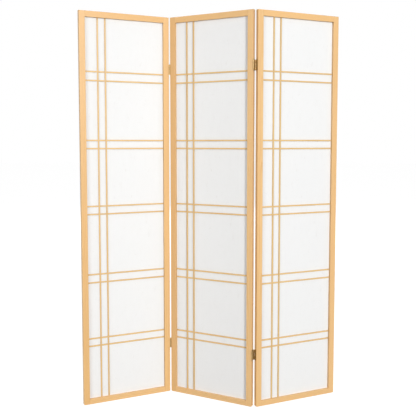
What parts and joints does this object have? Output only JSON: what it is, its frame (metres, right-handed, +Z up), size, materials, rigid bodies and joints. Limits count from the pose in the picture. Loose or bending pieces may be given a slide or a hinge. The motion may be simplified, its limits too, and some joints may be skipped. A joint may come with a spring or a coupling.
{
  "type": "folding shoji screen",
  "caption": "Folding shoji screen: pale wood frames with paper behind a lattice of slim bars, joined edge to edge by two-way brass hinges and standing in a zigzag.",
  "frame": {"origin": "on the floor, under the middle of the standing screen's outline, at the pictured zigzag", "axes": "+Z up; -Y towards the lattice side of the panels; +X to the viewer's right along the row of panels"},
  "size_m": [1.2102, 0.2344, 1.829],
  "materials": {
    "frame_wood": "pale softwood, clear satin finish",
    "lattice_wood": "pale softwood, clear satin finish",
    "paper": "matte fibrous white paper",
    "hinge_brass": "aged brass, satin",
    "screw_brass": "brass, satin"
  },
  "bodies": {
    "middle_panel": {"left_lower_hinge_back_leaf": "hinge_brass", "left_upper_hinge_back_leaf": "hinge_brass", "middle_panel_bottom_bead": "lattice_wood", "middle_panel_bottom_rail": "frame_wood", "middle_panel_cross_bars_1": "lattice_wood", "middle_panel_cross_bars_2": "lattice_wood", "middle_panel_cross_bars_3": "lattice_wood", "middle_panel_cross_bars_4": "lattice_wood", "middle_panel_cross_bars_5": "lattice_wood", "middle_panel_hinge_screws": "screw_brass", "middle_panel_left_bead": "lattice_wood", "middle_panel_left_stile": "frame_wood", "middle_panel_paper": "paper", "middle_panel_right_bead": "lattice_wood", "middle_panel_right_stile": "frame_wood", "middle_panel_top_bead": "lattice_wood", "middle_panel_top_rail": "frame_wood", "middle_panel_upright_bars": "lattice_wood", "right_lower_hinge_front_leaf": "hinge_brass", "right_upper_hinge_front_leaf": "hinge_brass"},
    "left_hinge_link": {"left_hinge_links": "hinge_brass", "left_hinge_pins": "hinge_brass"},
    "left_panel": {"left_lower_hinge_front_leaf": "hinge_brass", "left_panel_bottom_bead": "lattice_wood", "left_panel_bottom_rail": "frame_wood", "left_panel_cross_bars_1": "lattice_wood", "left_panel_cross_bars_2": "lattice_wood", "left_panel_cross_bars_3": "lattice_wood", "left_panel_cross_bars_4": "lattice_wood", "left_panel_cross_bars_5": "lattice_wood", "left_panel_hinge_screws": "screw_brass", "left_panel_left_bead": "lattice_wood", "left_panel_left_stile": "frame_wood", "left_panel_paper": "paper", "left_panel_right_bead": "lattice_wood", "left_panel_right_stile": "frame_wood", "left_panel_top_bead": "lattice_wood", "left_panel_top_rail": "frame_wood", "left_panel_upright_bars": "lattice_wood", "left_upper_hinge_front_leaf": "hinge_brass"},
    "right_hinge_link": {"right_hinge_links": "hinge_brass", "right_hinge_pins": "hinge_brass"},
    "right_panel": {"right_lower_hinge_back_leaf": "hinge_brass", "right_panel_bottom_bead": "lattice_wood", "right_panel_bottom_rail": "frame_wood", "right_panel_cross_bars_1": "lattice_wood", "right_panel_cross_bars_2": "lattice_wood", "right_panel_cross_bars_3": "lattice_wood", "right_panel_cross_bars_4": "lattice_wood", "right_panel_cross_bars_5": "lattice_wood", "right_panel_hinge_screws": "screw_brass", "right_panel_left_bead": "lattice_wood", "right_panel_left_stile": "frame_wood", "right_panel_paper": "paper", "right_panel_right_bead": "lattice_wood", "right_panel_right_stile": "frame_wood", "right_panel_top_bead": "lattice_wood", "right_panel_top_rail": "frame_wood", "right_panel_upright_bars": "lattice_wood", "right_upper_hinge_back_leaf": "hinge_brass"}
  },
  "joints": [
    {"name": "left_link_swing", "type": "hinge", "parent": "middle_panel", "child": "left_hinge_link", "pos_m": [-0.1901, 0.11492, 0.9145], "axis": [0, 0, -1], "range_deg": [0, 90]},
    {"name": "left_panel_fold", "type": "hinge", "parent": "left_hinge_link", "child": "left_panel", "pos_m": [-0.20012, 0.09646, 0.9145], "axis": [0, 0, 1], "range_deg": [-54.3, 125.7]},
    {"name": "right_link_swing", "type": "hinge", "parent": "middle_panel", "child": "right_hinge_link", "pos_m": [0.18919, -0.11492, 0.9145], "axis": [0, 0, -1], "range_deg": [0, 90]},
    {"name": "right_panel_fold", "type": "hinge", "parent": "right_hinge_link", "child": "right_panel", "pos_m": [0.19922, -0.09646, 0.9145], "axis": [0, 0, 1], "range_deg": [-54, 126]}
  ]
}
